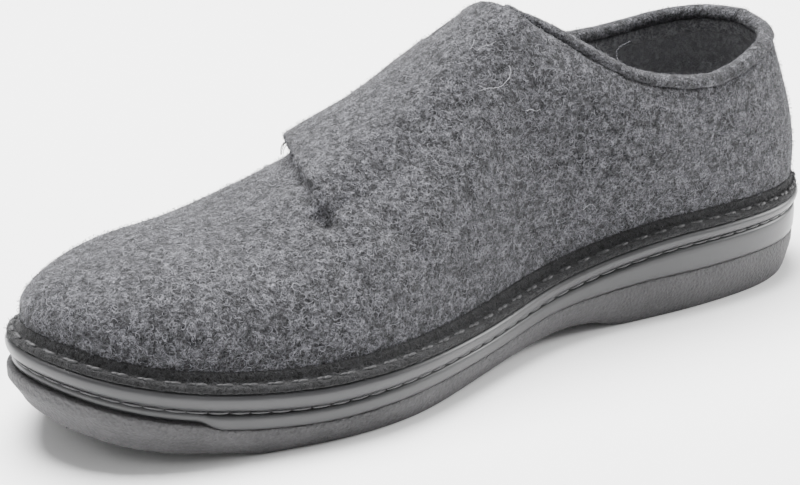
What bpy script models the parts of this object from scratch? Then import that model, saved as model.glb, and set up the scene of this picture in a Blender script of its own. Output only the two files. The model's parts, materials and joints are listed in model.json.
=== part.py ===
# Felt slipper for the right foot, toe toward -X, inner side toward -Y, standing on Z = 0
import bpy
import bmesh
import numpy as np
from mathutils import Vector
from mathutils.bvhtree import BVHTree

# Lengths below are in millimetres and are turned to metres once, when a body is made
MM = 0.001
GAP = 0.3

# The foot and the sole it stands on
SOLE_LENGTH = 298.0
BALL_WIDTH = 111.0
HEEL_HEIGHT = 29.0
FOREFOOT_HEIGHT = 18.9
TOE_SPRING = 14.4
HEEL_RAMP_START = 70.0
HEEL_RAMP_END = 165.0
TOE_RISE_START = 215.0
INSTEP_HEIGHT = 103.5

# Thickness of the felt. The wall is doubled where the flap is rooted in it, between
# these shares of the way round and above these shares of the height
WALL = 3.0
ROOT_WALL = 5.7
ROOT_BEGINS = (0.30, 0.38)
ROOT_ENDS = (0.68, 0.74)
ROOT_UP_INNER = (0.42, 0.62)
ROOT_UP_OUTER = (0.70, 1.00)

# Stations around the shoe: shares of the way from the heel to the toe
THROAT_SHARE = 0.475
COLLAR_STEPS = 17
VAMP_STEPS = 17
STEP_GROWTH = 1.15
STEP_CROWDING = 0.45
SECTION_STEPS = 13
FLAP_STEPS_ALONG = 22
FLAP_STEPS_ACROSS = 12
NORMAL_SMOOTHING = 12
OUTLINE_SAMPLES = 1200

# Sole outline: distance from the back of the heel as a share of the length,
# then the inner and outer half widths as a share of the ball width
OUTLINE_COLUMNS = ("along", "inner", "outer")
OUTLINE = (
    (0.000, 0.000, 0.000),
    (0.034, 0.221, 0.216),
    (0.084, 0.315, 0.306),
    (0.168, 0.358, 0.356),
    (0.252, 0.356, 0.378),
    (0.336, 0.335, 0.392),
    (0.419, 0.333, 0.410),
    (0.503, 0.387, 0.446),
    (0.587, 0.459, 0.486),
    (0.671, 0.503, 0.509),
    (0.738, 0.497, 0.505),
    (0.805, 0.462, 0.462),
    (0.872, 0.414, 0.383),
    (0.923, 0.354, 0.284),
    (0.966, 0.260, 0.167),
    (0.990, 0.158, 0.068),
    (1.000, 0.045, -0.045),
)

# Side of the sole: distance from the heel, depth of the upper band, of the groove
# and of the wedge under it, how far the bottom edge stands off the floor and how far
# it lies inside the outline
SIDE_COLUMNS = ("along", "band", "groove", "wedge", "lift", "undercut")
SIDE = (
    (0.0, 4.0, 1.4, 8.8, 2.2, 5.2),
    (6.0, 4.0, 1.4, 8.8, 0.5, 4.8),
    (14.0, 4.0, 1.4, 8.8, 0.0, 4.4),
    (68.0, 4.1, 1.4, 8.7, 0.0, 4.2),
    (94.0, 4.3, 1.2, 7.2, 0.0, 4.2),
    (101.0, 4.3, 1.2, 6.7, 0.9, 4.2),
    (109.0, 4.4, 1.1, 6.1, 3.2, 4.2),
    (120.0, 4.5, 1.0, 5.0, 3.9, 4.2),
    (136.0, 4.5, 0.9, 4.3, 3.0, 4.2),
    (165.0, 4.6, 0.8, 4.1, 1.3, 4.2),
    (192.0, 5.1, 0.8, 4.3, 0.0, 4.2),
    (232.0, 5.7, 0.9, 4.5, 0.0, 4.2),
    (241.0, 5.6, 1.1, 4.5, 0.0, 4.2),
    (254.0, 5.4, 1.3, 4.4, 2.2, 4.2),
    (262.0, 5.4, 1.3, 2.6, 3.2, 4.2),
    (272.0, 5.4, 1.3, 2.5, 4.7, 4.4),
    (284.0, 5.3, 1.3, 2.4, 7.4, 4.8),
    (292.0, 5.2, 1.3, 2.3, 9.8, 5.2),
    (298.0, 5.1, 1.3, 2.2, 12.4, 5.6),
)

# The bumper around the toe: where it begins and is full, and how far it stands out
BUMPER_START = 256.0
BUMPER_FULL = 262.0
BUMPER_PROUD = 1.3

# Edge of the midsole from top to bottom: inset from the outline, the same behind the
# bumper, level (0 sole edge, 1 under the band, 2 under the groove, 3 under the wedge)
# and a drop below that level
MIDSOLE_COLUMNS = ("inset", "toe_inset", "level", "drop")
MIDSOLE_EDGE = (
    (1.6, 1.6, 0.0, 0.00),
    (0.6, 0.6, 0.0, 0.35),
    (0.0, 0.0, 0.0, 1.30),
    (0.0, 0.0, 0.6, 0.00),
    (0.7, 0.7, 1.0, 0.00),
    (2.4, 2.4, 1.0, 0.30),
    (2.4, 2.4, 2.0, -0.30),
    (1.0, 1.9, 2.0, 0.00),
    (0.8, 1.7, 2.5, 0.00),
    (1.0, 1.9, 3.0, 0.00),
    (2.4, 2.4, 3.0, 0.00),
)

# Edge of the outsole from top to bottom: inset from the outline, share of the bumper,
# share of the undercut, share of the height and a drop below it
OUTSOLE_COLUMNS = ("inset", "bumper", "under", "rise", "drop")
OUTSOLE_EDGE = (
    (2.4, 0.0, 0.00, 1.00, 0.0),
    (2.0, 1.0, 0.00, 1.00, 0.0),
    (1.3, 1.0, 0.00, 1.00, 0.5),
    (1.3, 1.0, 0.00, 0.72, 0.0),
    (1.6, 0.0, 0.25, 0.42, 0.0),
    (1.6, 0.0, 0.60, 0.16, 0.0),
    (1.6, 0.0, 1.00, 0.00, 0.0),
)

# Welt: share of the way from its outer edge to the upper, and height over the sole
WELT_INSET = 0.7
WELT_LIP = 4.5
WELT_EDGE = (
    (0.00, GAP),
    (0.00, 1.5),
    (0.09, 2.1),
    (0.60, 2.1),
    (0.72, 3.6),
    (0.82, WELT_LIP),
    (1.00, WELT_LIP),
    (1.00, GAP),
)

# Collar rim: share of the wall from outside to inside, how far it stands out of the
# wall and how high it stands over the edge of the wall. Toward the throat, over this
# share of the way, it draws in, lifts and grows lower by this share
RIM_GAP = 0.5
RIM_DRAWN_IN = 0.05
RIM_LIFT = 0.8
RIM_LOW = 0.6
RIM_EDGE = (
    (0.0, 1.0, RIM_GAP),
    (0.0, 1.2, 2.4),
    (0.0, 0.3, 4.2),
    (0.5, 0.0, 4.8),
    (1.0, -0.3, 4.2),
    (1.0, -1.2, 2.4),
    (1.0, -1.0, RIM_GAP),
)

# Insole: inset from the inside of the wall and height over the sole edge
INSOLE_EDGE = (
    (14.3, 4.3),
    (5.3, 4.9),
    (1.5, 6.3),
    (0.6, 3.8),
    (0.3, GAP),
)

# Sections of the upper. Share of the way from heel to toe, place of the top of the
# section, its height as a share of the instep height, lean of its top edge in degrees,
# how far each end holds its direction, inset of its foot and its side bulge
SECTION_COLUMNS = (
    "share", "reach", "inner", "outer", "inner_top", "outer_top",
    "lean", "foot_hold", "inner_hold", "outer_hold", "flange", "bulge",
)
SECTIONS = (
    (0.000, 133.0, 0.0, 0.0, 0.818, 0.818, 72.0, 0.38, 0.35, 0.35, 2.4, 1.6),
    (0.060, 129.5, -15.6, 15.6, 0.804, 0.806, 72.0, 0.38, 0.35, 0.35, 2.8, 1.6),
    (0.130, 116.0, -27.2, 27.2, 0.775, 0.781, 74.0, 0.40, 0.35, 0.35, 4.4, 1.3),
    (0.220, 90.0, -32.2, 32.2, 0.725, 0.748, 75.0, 0.45, 0.35, 0.35, 6.2, 1.0),
    (0.310, 62.0, -30.5, 30.5, 0.773, 0.766, 62.0, 0.50, 0.40, 0.40, 6.9, 0.8),
    (0.390, 40.0, -22.0, 22.0, 0.899, 0.870, 44.0, 0.55, 0.50, 0.42, 7.0, 0.5),
    (0.440, 30.0, -12.5, 12.5, 0.975, 0.952, 26.0, 0.58, 0.55, 0.38, 7.0, 0.5),
    (0.465, 26.0, -4.8, 2.8, 1.006, 1.000, 16.0, 0.58, 0.57, 0.37, 7.0, 0.5),
    (0.475, 25.4, -1.0, -1.0, 1.012, 1.012, 12.0, 0.58, 0.58, 0.36, 7.0, 0.5),
    (0.550, -13.0, -2.0, -2.0, 0.790, 0.790, 0.0, 0.58, 0.58, 0.38, 7.0, 0.5),
    (0.650, -50.0, -3.0, -3.0, 0.609, 0.609, 0.0, 0.58, 0.58, 0.48, 7.0, 0.8),
    (0.760, -80.0, -4.0, -4.0, 0.532, 0.532, 0.0, 0.60, 0.60, 0.54, 6.8, 1.5),
    (0.880, -99.0, -5.0, -5.0, 0.522, 0.522, 0.0, 0.66, 0.62, 0.64, 6.0, 3.4),
    (1.000, -108.0, -5.0, -5.0, 0.512, 0.512, 0.0, 0.68, 0.64, 0.64, 5.0, 3.8),
)

# A section shorter than this in plan leans toward the middle of the ankle
SHORT_REACH = 14.0
ANKLE_MIDDLE = (60.0, 0.0)
RIDGE_STEP = 0.004

# Outline of the flap seen from above, from its root on the inner side to its free end
# on the outer side: its front edge and its rear edge beside the collar
FLAP_COLUMNS = ("way", "front_x", "front_y", "rear_x", "rear_y")
FLAP = (
    (0.00, -58.5, -27.6, 32.0, -19.8),
    (0.20, -55.5, -18.0, 27.8, -13.0),
    (0.40, -52.4, -8.0, 23.8, -5.6),
    (0.50, -50.2, -2.0, 23.0, -0.6),
    (0.60, -47.2, 5.0, 23.6, 4.6),
    (0.80, -40.2, 19.0, 27.2, 14.6),
    (1.00, -34.4, 32.0, 29.5, 24.0),
)
FLAP_THICKNESS = 3.6
FLAP_CLEARANCE = 0.7
FLAP_SUNK = 0.32
# How far the front edge of the flap stands off the vamp, and the share it fades over
FLAP_FRONT_LIFT = 2.4
FLAP_FRONT_SHARE = 0.55
# Rounded corners of the free end and the room cut for the root
FLAP_CORNER_START = 0.86
FLAP_CORNER_SHARE = 0.20
RECESS_MARGIN = 0.008
DROP_HEIGHT = 200.0


def smooth_step(start, end, value):
    t = np.clip((value - start) / (end - start), 0.0, 1.0)
    return t * t * (3.0 - 2.0 * t)


def slopes_of(xs, ys):
    steps = np.diff(xs)
    rises = np.diff(ys) / steps
    slopes = np.zeros(len(xs))
    slopes[0] = rises[0]
    slopes[-1] = rises[-1]
    for k in range(1, len(xs) - 1):
        if rises[k - 1] * rises[k] > 0.0:
            first = 2.0 * steps[k] + steps[k - 1]
            second = steps[k] + 2.0 * steps[k - 1]
            slopes[k] = (first + second) / (first / rises[k - 1] + second / rises[k])
    return slopes


class Table:
    def __init__(self, columns, rows):
        values = np.array(rows, dtype=float)
        self.keys = values[:, 0]
        self.columns = {name: values[:, k] for k, name in enumerate(columns)}
        self.slopes = {name: slopes_of(self.keys, col) for name, col in self.columns.items()}

    def at(self, name, key):
        xs = self.keys
        ys = self.columns[name]
        slopes = self.slopes[name]
        k = int(np.clip(np.searchsorted(xs, key) - 1, 0, len(xs) - 2))
        width = xs[k + 1] - xs[k]
        t = min(max((key - xs[k]) / width, 0.0), 1.0)
        start = (1.0 + 2.0 * t) * (1.0 - t) ** 2
        end = t * t * (3.0 - 2.0 * t)
        rise = width * (t * (1.0 - t) ** 2 * slopes[k] - t * t * (1.0 - t) * slopes[k + 1])
        return start * ys[k] + end * ys[k + 1] + rise


side = Table(SIDE_COLUMNS, SIDE)
sections = Table(SECTION_COLUMNS, SECTIONS)
flap_edges = Table(FLAP_COLUMNS, FLAP)


# The outline of the sole

def closed_spline(points, count):
    chords = np.linalg.norm(np.diff(np.vstack([points, points[:1]]), axis=0), axis=1)
    knots = np.concatenate([[0.0], np.cumsum(chords)])
    size = len(points)
    system = np.zeros((size, size))
    right = np.zeros((size, 2))
    for k in range(size):
        before = chords[k - 1]
        after = chords[k]
        following = points[(k + 1) % size]
        system[k, k - 1] += before
        system[k, k] += 2.0 * (before + after)
        system[k, (k + 1) % size] += after
        right[k] = 6.0 * ((following - points[k]) / after - (points[k] - points[k - 1]) / before)
    bends = np.linalg.solve(system, right)
    places = np.linspace(0.0, knots[-1], count + 1)
    curve = np.zeros((count + 1, 2))
    for n, place in enumerate(places):
        k = min(int(np.searchsorted(knots, place, side="right")) - 1, size - 1)
        width = chords[k]
        right_part = (place - knots[k]) / width
        left_part = 1.0 - right_part
        following = (k + 1) % size
        cubic_left = (left_part ** 3 - left_part) * bends[k]
        cubic_right = (right_part ** 3 - right_part) * bends[following]
        straight = left_part * points[k] + right_part * points[following]
        curve[n] = straight + (cubic_left + cubic_right) * width * width / 6.0
    return curve, knots


def split_outline():
    rows = np.array(OUTLINE)
    along = rows[:, 0] * SOLE_LENGTH
    inner = np.column_stack([along, -rows[:, 1] * BALL_WIDTH])
    outer = np.column_stack([along, rows[:, 2] * BALL_WIDTH])
    points = np.vstack([inner, outer[::-1][1:-1]])
    points[:, 0] = SOLE_LENGTH / 2.0 - points[:, 0]
    curve, knots = closed_spline(points, OUTLINE_SAMPLES)
    directions = np.gradient(curve, axis=0)
    directions /= np.linalg.norm(directions, axis=1)[:, None]
    inward = np.column_stack([directions[:, 1], -directions[:, 0]])
    toe = int(round(knots[len(inner) - 1] / knots[-1] * OUTLINE_SAMPLES))
    halves = {}
    for name, part in (("inner", slice(0, toe + 1)), ("outer", slice(toe, None))):
        line = curve[part]
        normals = inward[part]
        if name == "outer":
            line = line[::-1]
            normals = normals[::-1]
        lengths = np.linalg.norm(np.diff(line, axis=0), axis=1)
        shares = np.concatenate([[0.0], np.cumsum(lengths)]) / lengths.sum()
        halves[name] = (shares, line, normals)
    return halves


halves = split_outline()


def edge_point(flank, share, inset):
    shares, line, normals = halves[flank]
    x = np.interp(share, shares, line[:, 0])
    y = np.interp(share, shares, line[:, 1])
    nx = np.interp(share, shares, normals[:, 0])
    ny = np.interp(share, shares, normals[:, 1])
    length = (nx * nx + ny * ny) ** 0.5
    return np.array([x + inset * nx / length, y + inset * ny / length])


def heel_distance(x):
    return SOLE_LENGTH / 2.0 - x


def edge_height(x):
    along = heel_distance(x)
    ramp = smooth_step(HEEL_RAMP_START, HEEL_RAMP_END, along)
    rise = max((along - TOE_RISE_START) / (SOLE_LENGTH - TOE_RISE_START), 0.0)
    return HEEL_HEIGHT + (FOREFOOT_HEIGHT - HEEL_HEIGHT) * ramp + TOE_SPRING * rise * rise


def station_shares():
    collar_way = np.linspace(0.0, 1.0, COLLAR_STEPS + 1)
    crowding = STEP_CROWDING * np.sin(2.0 * np.pi * collar_way) / (2.0 * np.pi)
    collar = THROAT_SHARE * (collar_way - crowding)
    vamp_way = np.linspace(1.0, 0.0, VAMP_STEPS + 1)[1:] ** STEP_GROWTH
    vamp = 1.0 - (1.0 - THROAT_SHARE) * vamp_way
    return np.concatenate([collar, vamp])


SHARES = station_shares()
LAST = len(SHARES) - 1
# Stations run once around the shoe: heel, inner side, toe, outer side
AROUND = [("inner", k) for k in range(LAST + 1)] + [("outer", k) for k in range(LAST - 1, 0, -1)]


def sole_ring(inset_of, height_of):
    ring = []
    for flank, k in AROUND:
        outer_edge = edge_point(flank, SHARES[k], 0.0)
        along = heel_distance(outer_edge[0])
        x, y = edge_point(flank, SHARES[k], inset_of(along, SHARES[k]))
        ring.append((x, y, height_of(along, edge_height(outer_edge[0]))))
    return np.array(ring)


# Bodies

def make_body(name, points, faces, material):
    mesh = bpy.data.meshes.new(name)
    mesh.from_pydata([tuple(MM * float(c) for c in p) for p in points], [], faces)
    mesh.validate()
    body = bpy.data.objects.new(name, mesh)
    bpy.context.scene.collection.objects.link(body)
    body.data.materials.append(material)
    for face in mesh.polygons:
        face.use_smooth = True
    return body


def make_material(name, colour, roughness):
    material = bpy.data.materials.new(name)
    material.use_nodes = True
    shader = material.node_tree.nodes["Principled BSDF"]
    shader.inputs["Base Color"].default_value = (*colour, 1.0)
    shader.inputs["Roughness"].default_value = roughness
    return material


def strip(first, second):
    size = len(first)
    faces = []
    for k in range(size):
        n = (k + 1) % size
        faces.append((first[k], first[n], second[n], second[k]))
    return faces


def lofted_points(rings):
    size = len(rings[0])
    points = np.vstack(rings)
    index = [list(range(r * size, (r + 1) * size)) for r in range(len(rings))]
    return points, index


def cap_faces(ring, flip):
    # Strips across the shoe between stations that face each other
    faces = []
    size = len(ring)
    for k in range(LAST):
        left_now = ring[k]
        left_next = ring[k + 1]
        right_now = ring[(size - k) % size]
        right_next = ring[size - k - 1]
        if k < LAST - 1:
            faces.append((left_now, left_next, right_next))
        if k > 0:
            faces.append((left_now, right_next, right_now))
    if flip:
        faces = [tuple(reversed(corners)) for corners in faces]
    return faces


def capped_loft(name, rings, material):
    points, index = lofted_points(rings)
    faces = []
    for upper, lower in zip(index[:-1], index[1:]):
        faces += strip(upper, lower)
    faces += cap_faces(index[0], False)
    faces += cap_faces(index[-1], True)
    return make_body(name, points, faces, material)


def closed_loft(name, rings, material):
    points, index = lofted_points(rings)
    faces = []
    for k in range(len(index)):
        faces += strip(index[k], index[(k + 1) % len(index)])
    return make_body(name, points, faces, material)


def face_outward(body):
    work = bmesh.new()
    work.from_mesh(body.data)
    bmesh.ops.recalc_face_normals(work, faces=work.faces)
    if work.calc_volume(signed=True) < 0.0:
        bmesh.ops.reverse_faces(work, faces=work.faces)
    work.to_mesh(body.data)
    work.free()


# Sole unit

def bumper(along):
    return smooth_step(BUMPER_START, BUMPER_FULL, along)


def level_depth(along, level):
    # Depth under the sole edge of the band, the groove and the wedge
    band = side.at("band", along)
    groove = band + side.at("groove", along)
    wedge = groove + side.at("wedge", along)
    return float(np.interp(level, (0.0, 1.0, 2.0, 3.0), (0.0, band, groove, wedge)))


def midsole_rings():
    rings = []
    for values in MIDSOLE_EDGE:
        row = dict(zip(MIDSOLE_COLUMNS, values))
        rings.append(sole_ring(
            lambda a, s: row["inset"] + (row["toe_inset"] - row["inset"]) * bumper(a),
            lambda a, z: z - level_depth(a, row["level"]) - row["drop"],
        ))
    return rings


def outsole_height(along, edge, rise):
    top = edge - level_depth(along, 3.0) - GAP
    bottom = side.at("lift", along)
    return bottom + rise * (top - bottom)


def outsole_rings():
    rings = []
    for values in OUTSOLE_EDGE:
        row = dict(zip(OUTSOLE_COLUMNS, values))

        def inset(along, share):
            undercut = row["under"] * (side.at("undercut", along) - row["inset"])
            return row["inset"] + undercut - row["bumper"] * BUMPER_PROUD * bumper(along)

        rings.append(sole_ring(
            inset,
            lambda a, z: outsole_height(a, z, row["rise"]) - row["drop"],
        ))
    return rings


# Welt around the foot of the upper

def flange(share):
    return sections.at("flange", share)


def welt_rings():
    rings = []
    for part, height in WELT_EDGE:
        rings.append(sole_ring(
            lambda a, s: WELT_INSET + part * (flange(s) - GAP - WELT_INSET),
            lambda a, z: z + height,
        ))
    return rings


# Upper

def section_point(flank, share, height):
    foot = edge_point(flank, share, flange(share))
    sole_edge = edge_height(edge_point(flank, share, 0.0)[0])
    start = np.array([foot[0], foot[1], sole_edge + WELT_LIP])
    top = np.array([
        sections.at("reach", share),
        sections.at(flank, share),
        sections.at(flank + "_top", share) * INSTEP_HEIGHT,
    ])
    plan = top[:2] - start[:2]
    reach = float(np.linalg.norm(plan))
    toward = plan / max(reach, 1e-6)
    if reach < SHORT_REACH:
        centre = np.array(ANKLE_MIDDLE) - top[:2]
        toward = centre / np.linalg.norm(centre)
    rise = top[2] - start[2]
    if share > THROAT_SHARE:
        before = max(share - RIDGE_STEP, THROAT_SHARE)
        after = min(share + RIDGE_STEP, 1.0)
        fall = sections.at("inner_top", before) - sections.at("inner_top", after)
        run = sections.at("reach", before) - sections.at("reach", after)
        leave = np.array([toward[0], toward[1], toward[0] * fall * INSTEP_HEIGHT / run])
    else:
        lean = np.radians(sections.at("lean", share))
        leave = np.array([toward[0] * np.cos(lean), toward[1] * np.cos(lean), np.sin(lean)])
    lean_rise = rise * abs(leave[2])
    first = start + np.array([0.0, 0.0, rise * sections.at("foot_hold", share)])
    first[:2] -= toward * sections.at("bulge", share)
    second = top - leave * sections.at(flank + "_hold", share) * max(reach, lean_rise)
    t = height
    return (
        (1 - t) ** 3 * start
        + 3 * (1 - t) ** 2 * t * first
        + 3 * (1 - t) * t * t * second
        + t ** 3 * top
    )


def skin_grid():
    points = []
    index = {}
    for flank, k in AROUND:
        for row in range(SECTION_STEPS + 1):
            on_ridge = row == SECTION_STEPS and SHARES[k] >= THROAT_SHARE - 1e-9
            key = ("inner", k, row) if on_ridge else (flank, k, row)
            if key not in index:
                index[key] = len(points)
                points.append(section_point(key[0], SHARES[k], row / SECTION_STEPS))
            index[(flank, k, row)] = index[key]
    return np.array(points), index


def grid_faces(index, rows):
    faces = []
    for n, (flank, k) in enumerate(AROUND):
        next_flank, next_k = AROUND[(n + 1) % len(AROUND)]
        for row in rows:
            corners = [
                index[(flank, k, row)],
                index[(next_flank, next_k, row)],
                index[(next_flank, next_k, row + 1)],
                index[(flank, k, row + 1)],
            ]
            unique = []
            for corner in corners:
                if corner not in unique:
                    unique.append(corner)
            if len(unique) > 2:
                faces.append(tuple(unique))
    return faces


def point_normals(points, faces):
    normals = np.zeros_like(points)
    for face in faces:
        a, b, c = points[face[0]], points[face[1]], points[face[2]]
        normal = np.cross(b - a, c - a)
        if len(face) == 4:
            normal = normal + np.cross(c - a, points[face[3]] - a)
        for corner in face:
            normals[corner] += normal
    return normals / np.linalg.norm(normals, axis=1)[:, None]


def wall_at(flank, share, height):
    along = smooth_step(*ROOT_BEGINS, share) * (1.0 - smooth_step(*ROOT_ENDS, share))
    up = smooth_step(*(ROOT_UP_OUTER if flank == "outer" else ROOT_UP_INNER), height)
    return WALL + (ROOT_WALL - WALL) * along * up


def collar_loop():
    throat = COLLAR_STEPS
    inner = [("inner", k) for k in range(throat + 1)]
    outer = [("outer", k) for k in range(throat - 1, 0, -1)]
    return inner + outer


def skin_surface():
    points, index = skin_grid()
    faces = grid_faces(index, range(SECTION_STEPS))
    normals = point_normals(points, faces)
    if np.einsum("ij,ij->", normals, points - points.mean(axis=0)) < 0.0:
        normals = -normals
    return points, index, faces, normals


def upper_body(material):
    outer_points, index, skin, normals = skin_surface()
    inner_points = outer_points.copy()
    done = set()
    for (flank, k, row), place in index.items():
        if place in done:
            continue
        done.add(place)
        wall = wall_at(flank, SHARES[k], row / SECTION_STEPS)
        inner_points[place] = outer_points[place] - wall * normals[place]
    count = len(outer_points)
    foot = []
    foot_inner = []
    extra = []
    for flank, k in AROUND:
        place = index[(flank, k, 0)]
        edge = edge_height(edge_point(flank, SHARES[k], 0.0)[0]) + GAP
        outer = outer_points[place].copy()
        outer[2] = edge
        inner = inner_points[place].copy()
        inner[2] = edge
        foot.append(2 * count + len(extra))
        extra.append(outer)
        foot_inner.append(2 * count + len(extra))
        extra.append(inner)
    points = np.vstack([outer_points, inner_points, np.array(extra)])
    faces = list(skin)
    faces += [tuple(count + corner for corner in reversed(face)) for face in skin]
    first_row = [index[(flank, k, 0)] for flank, k in AROUND]
    inner_row = [count + place for place in first_row]
    faces += strip(foot, first_row)
    faces += strip(inner_row, foot_inner)
    faces += strip(foot_inner, foot)
    rim = [index[(flank, k, SECTION_STEPS)] for flank, k in collar_loop()]
    rim_inner = [count + place for place in rim]
    faces += strip(rim, rim_inner)
    return make_body("upper", points, faces, material)


# Flap

def flap_place(way, across):
    if way < 0.0:
        root = flap_place(0.0, across)
        return root - (flap_place(-way, across) - root)
    front = np.array([flap_edges.at("front_x", way), flap_edges.at("front_y", way)])
    rear = np.array([flap_edges.at("rear_x", way), flap_edges.at("rear_y", way)])
    turn = min(max((way - FLAP_CORNER_START) / (1.0 - FLAP_CORNER_START), 0.0), 1.0)
    trim = FLAP_CORNER_SHARE * (1.0 - (1.0 - turn * turn) ** 0.5)
    return front + (rear - front) * (trim + across * (1.0 - 2.0 * trim))


def flap_floor(way):
    # The root lies flush in the wall, the rest of the flap lies on top of it
    return FLAP_CLEARANCE - (FLAP_THICKNESS + FLAP_CLEARANCE) * (1.0 - smooth_step(0.0, FLAP_SUNK, way))


def front_lift(way, across):
    # Past its root the flap stands off the vamp toward its front edge
    toward_front = 1.0 - smooth_step(0.0, FLAP_FRONT_SHARE, across)
    return FLAP_FRONT_LIFT * smooth_step(0.0, FLAP_SUNK, way) * toward_front


def flap_bed(ways, acrosses):
    # Drop every point of the outline plan onto the skin of the upper
    points, index, faces, normals = skin_surface()
    tree = BVHTree.FromPolygons([Vector(p) for p in points], faces)
    down = Vector((0.0, 0.0, -1.0))
    bed = np.zeros((len(ways), len(acrosses), 3))
    for row, way in enumerate(ways):
        for col, across in enumerate(acrosses):
            x, y = flap_place(way, across)
            hit = tree.ray_cast(Vector((x, y, DROP_HEIGHT)), down)
            bed[row, col] = hit[0]
    return bed


def bed_normals(bed):
    normals = np.cross(np.gradient(bed, axis=0), np.gradient(bed, axis=1))
    normals /= np.linalg.norm(normals, axis=2)[:, :, None]
    if normals[:, :, 2].mean() < 0.0:
        normals = -normals
    for _ in range(NORMAL_SMOOTHING):
        wide = np.pad(normals, ((1, 1), (1, 1), (0, 0)), mode="edge")
        beside = wide[:-2, 1:-1] + wide[2:, 1:-1] + wide[1:-1, :-2] + wide[1:-1, 2:]
        normals = normals + beside / 4.0
        normals /= np.linalg.norm(normals, axis=2)[:, :, None]
    return normals


def slab_body(name, low, high, material):
    rows, cols = low.shape[0] - 1, low.shape[1] - 1
    points = np.vstack([low.reshape(-1, 3), high.reshape(-1, 3)])
    per_level = low.shape[0] * low.shape[1]

    def at(level, row, col):
        return level * per_level + row * (cols + 1) + col

    faces = []
    for row in range(rows):
        for col in range(cols):
            for level in (0, 1):
                faces.append((
                    at(level, row, col), at(level, row, col + 1),
                    at(level, row + 1, col + 1), at(level, row + 1, col),
                ))
    for row in range(rows):
        for col in (0, cols):
            faces.append((at(0, row, col), at(0, row + 1, col), at(1, row + 1, col), at(1, row, col)))
    for col in range(cols):
        for row in (0, rows):
            faces.append((at(0, row, col), at(0, row, col + 1), at(1, row, col + 1), at(1, row, col)))
    return make_body(name, points, faces, material)


def raised(bed, normals, ways, level_of):
    levels = np.array([level_of(way) for way in ways])
    return bed + normals * levels[:, None, None]


def flap_body(material):
    ways = np.linspace(0.0, 1.0, FLAP_STEPS_ALONG + 1)
    acrosses = np.linspace(0.0, 1.0, FLAP_STEPS_ACROSS + 1)
    bed = flap_bed(ways, acrosses)
    normals = bed_normals(bed)
    lifts = np.array([[front_lift(way, across) for across in acrosses] for way in ways])
    bed = bed + normals * lifts[:, :, None]
    low = raised(bed, normals, ways, flap_floor)
    high = raised(bed, normals, ways, lambda way: flap_floor(way) + FLAP_THICKNESS)
    return slab_body("flap", low, high, material)


def recess_cutter(material):
    # Room in the wall for the root of the flap, a little larger than the root
    sunk = int(round(FLAP_SUNK * FLAP_STEPS_ALONG)) + 1
    ways = np.linspace(0.0, 1.0, FLAP_STEPS_ALONG + 1)
    acrosses = np.linspace(0.0, 1.0, FLAP_STEPS_ACROSS + 1)
    normals = bed_normals(flap_bed(ways, acrosses))[:sunk]
    normals = np.pad(normals, ((1, 1), (1, 1), (0, 0)), mode="edge")
    last_way = ways[sunk - 1] + RECESS_MARGIN
    wide_ways = np.concatenate([[-RECESS_MARGIN], ways[:sunk], [last_way]])
    wide_acrosses = np.concatenate([[-RECESS_MARGIN], acrosses, [1.0 + RECESS_MARGIN]])
    bed = flap_bed(wide_ways, wide_acrosses)

    def floor(way):
        past = max(way - ways[sunk - 1], 0.0) / RECESS_MARGIN
        return flap_floor(max(way, 0.0)) - FLAP_CLEARANCE + past

    low = raised(bed, normals, wide_ways, floor)
    high = raised(bed, normals, wide_ways, lambda way: FLAP_THICKNESS)
    cutter = slab_body("recess_cutter", low, high, material)
    cutter.hide_render = True
    cutter.display_type = "WIRE"
    return cutter


def cut(body, cutter):
    cutting = body.modifiers.new("recess", "BOOLEAN")
    cutting.operation = "DIFFERENCE"
    cutting.solver = "EXACT"
    cutting.object = cutter


# Collar rim

def rim_body(material):
    outer_points, index, skin, normals = skin_surface()
    loop = collar_loop()
    places = [index[(flank, k, SECTION_STEPS)] for flank, k in loop]
    size = len(places)
    rings = []
    for part, overhang, rise in RIM_EDGE:
        ring = []
        for n, place in enumerate(places):
            before = outer_points[places[n - 1]]
            after = outer_points[places[(n + 1) % size]]
            edge = after - before
            edge /= np.linalg.norm(edge)
            normal = normals[place]
            away = np.cross(edge, normal)
            away /= np.linalg.norm(away)
            flank, k = loop[n]
            foot = outer_points[index[(flank, k, SECTION_STEPS - 1)]]
            if np.dot(away, outer_points[place] - foot) < 0.0:
                away = -away
            if k == COLLAR_STEPS:
                ridge = outer_points[index[("inner", k + 1, SECTION_STEPS)]]
                away = away if np.dot(away, outer_points[place] - ridge) > 0.0 else -away
            wall = wall_at(flank, SHARES[k], 1.0)
            ease = smooth_step(0.0, RIM_DRAWN_IN, THROAT_SHARE - SHARES[k])
            out = overhang * ease - part * wall
            lowered = (rise - RIM_GAP) * (1.0 - RIM_LOW * (1.0 - ease))
            lifted = RIM_GAP + lowered + RIM_LIFT * (1.0 - ease)
            ring.append(outer_points[place] + normal * out + away * lifted)
        rings.append(np.array(ring))
    return closed_loft("collar_rim", rings, material)


# Insole

def insole_rings():
    rings = []
    for inset, height in INSOLE_EDGE:
        rings.append(sole_ring(
            lambda a, s: flange(s) + WALL + inset,
            lambda a, z: z + height,
        ))
    return rings


def stand_on_floor(bodies):
    # Centre the shoe over the origin and set its lowest point on the floor
    corners = [vertex.co for body in bodies for vertex in body.data.vertices]
    middle_x = (min(c.x for c in corners) + max(c.x for c in corners)) / 2.0
    middle_y = (min(c.y for c in corners) + max(c.y for c in corners)) / 2.0
    lowest = min(c.z for c in corners)
    for body in bodies:
        for vertex in body.data.vertices:
            vertex.co -= Vector((middle_x, middle_y, lowest))


def clear_scene():
    for item in list(bpy.data.objects):
        bpy.data.objects.remove(item, do_unlink=True)


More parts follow.
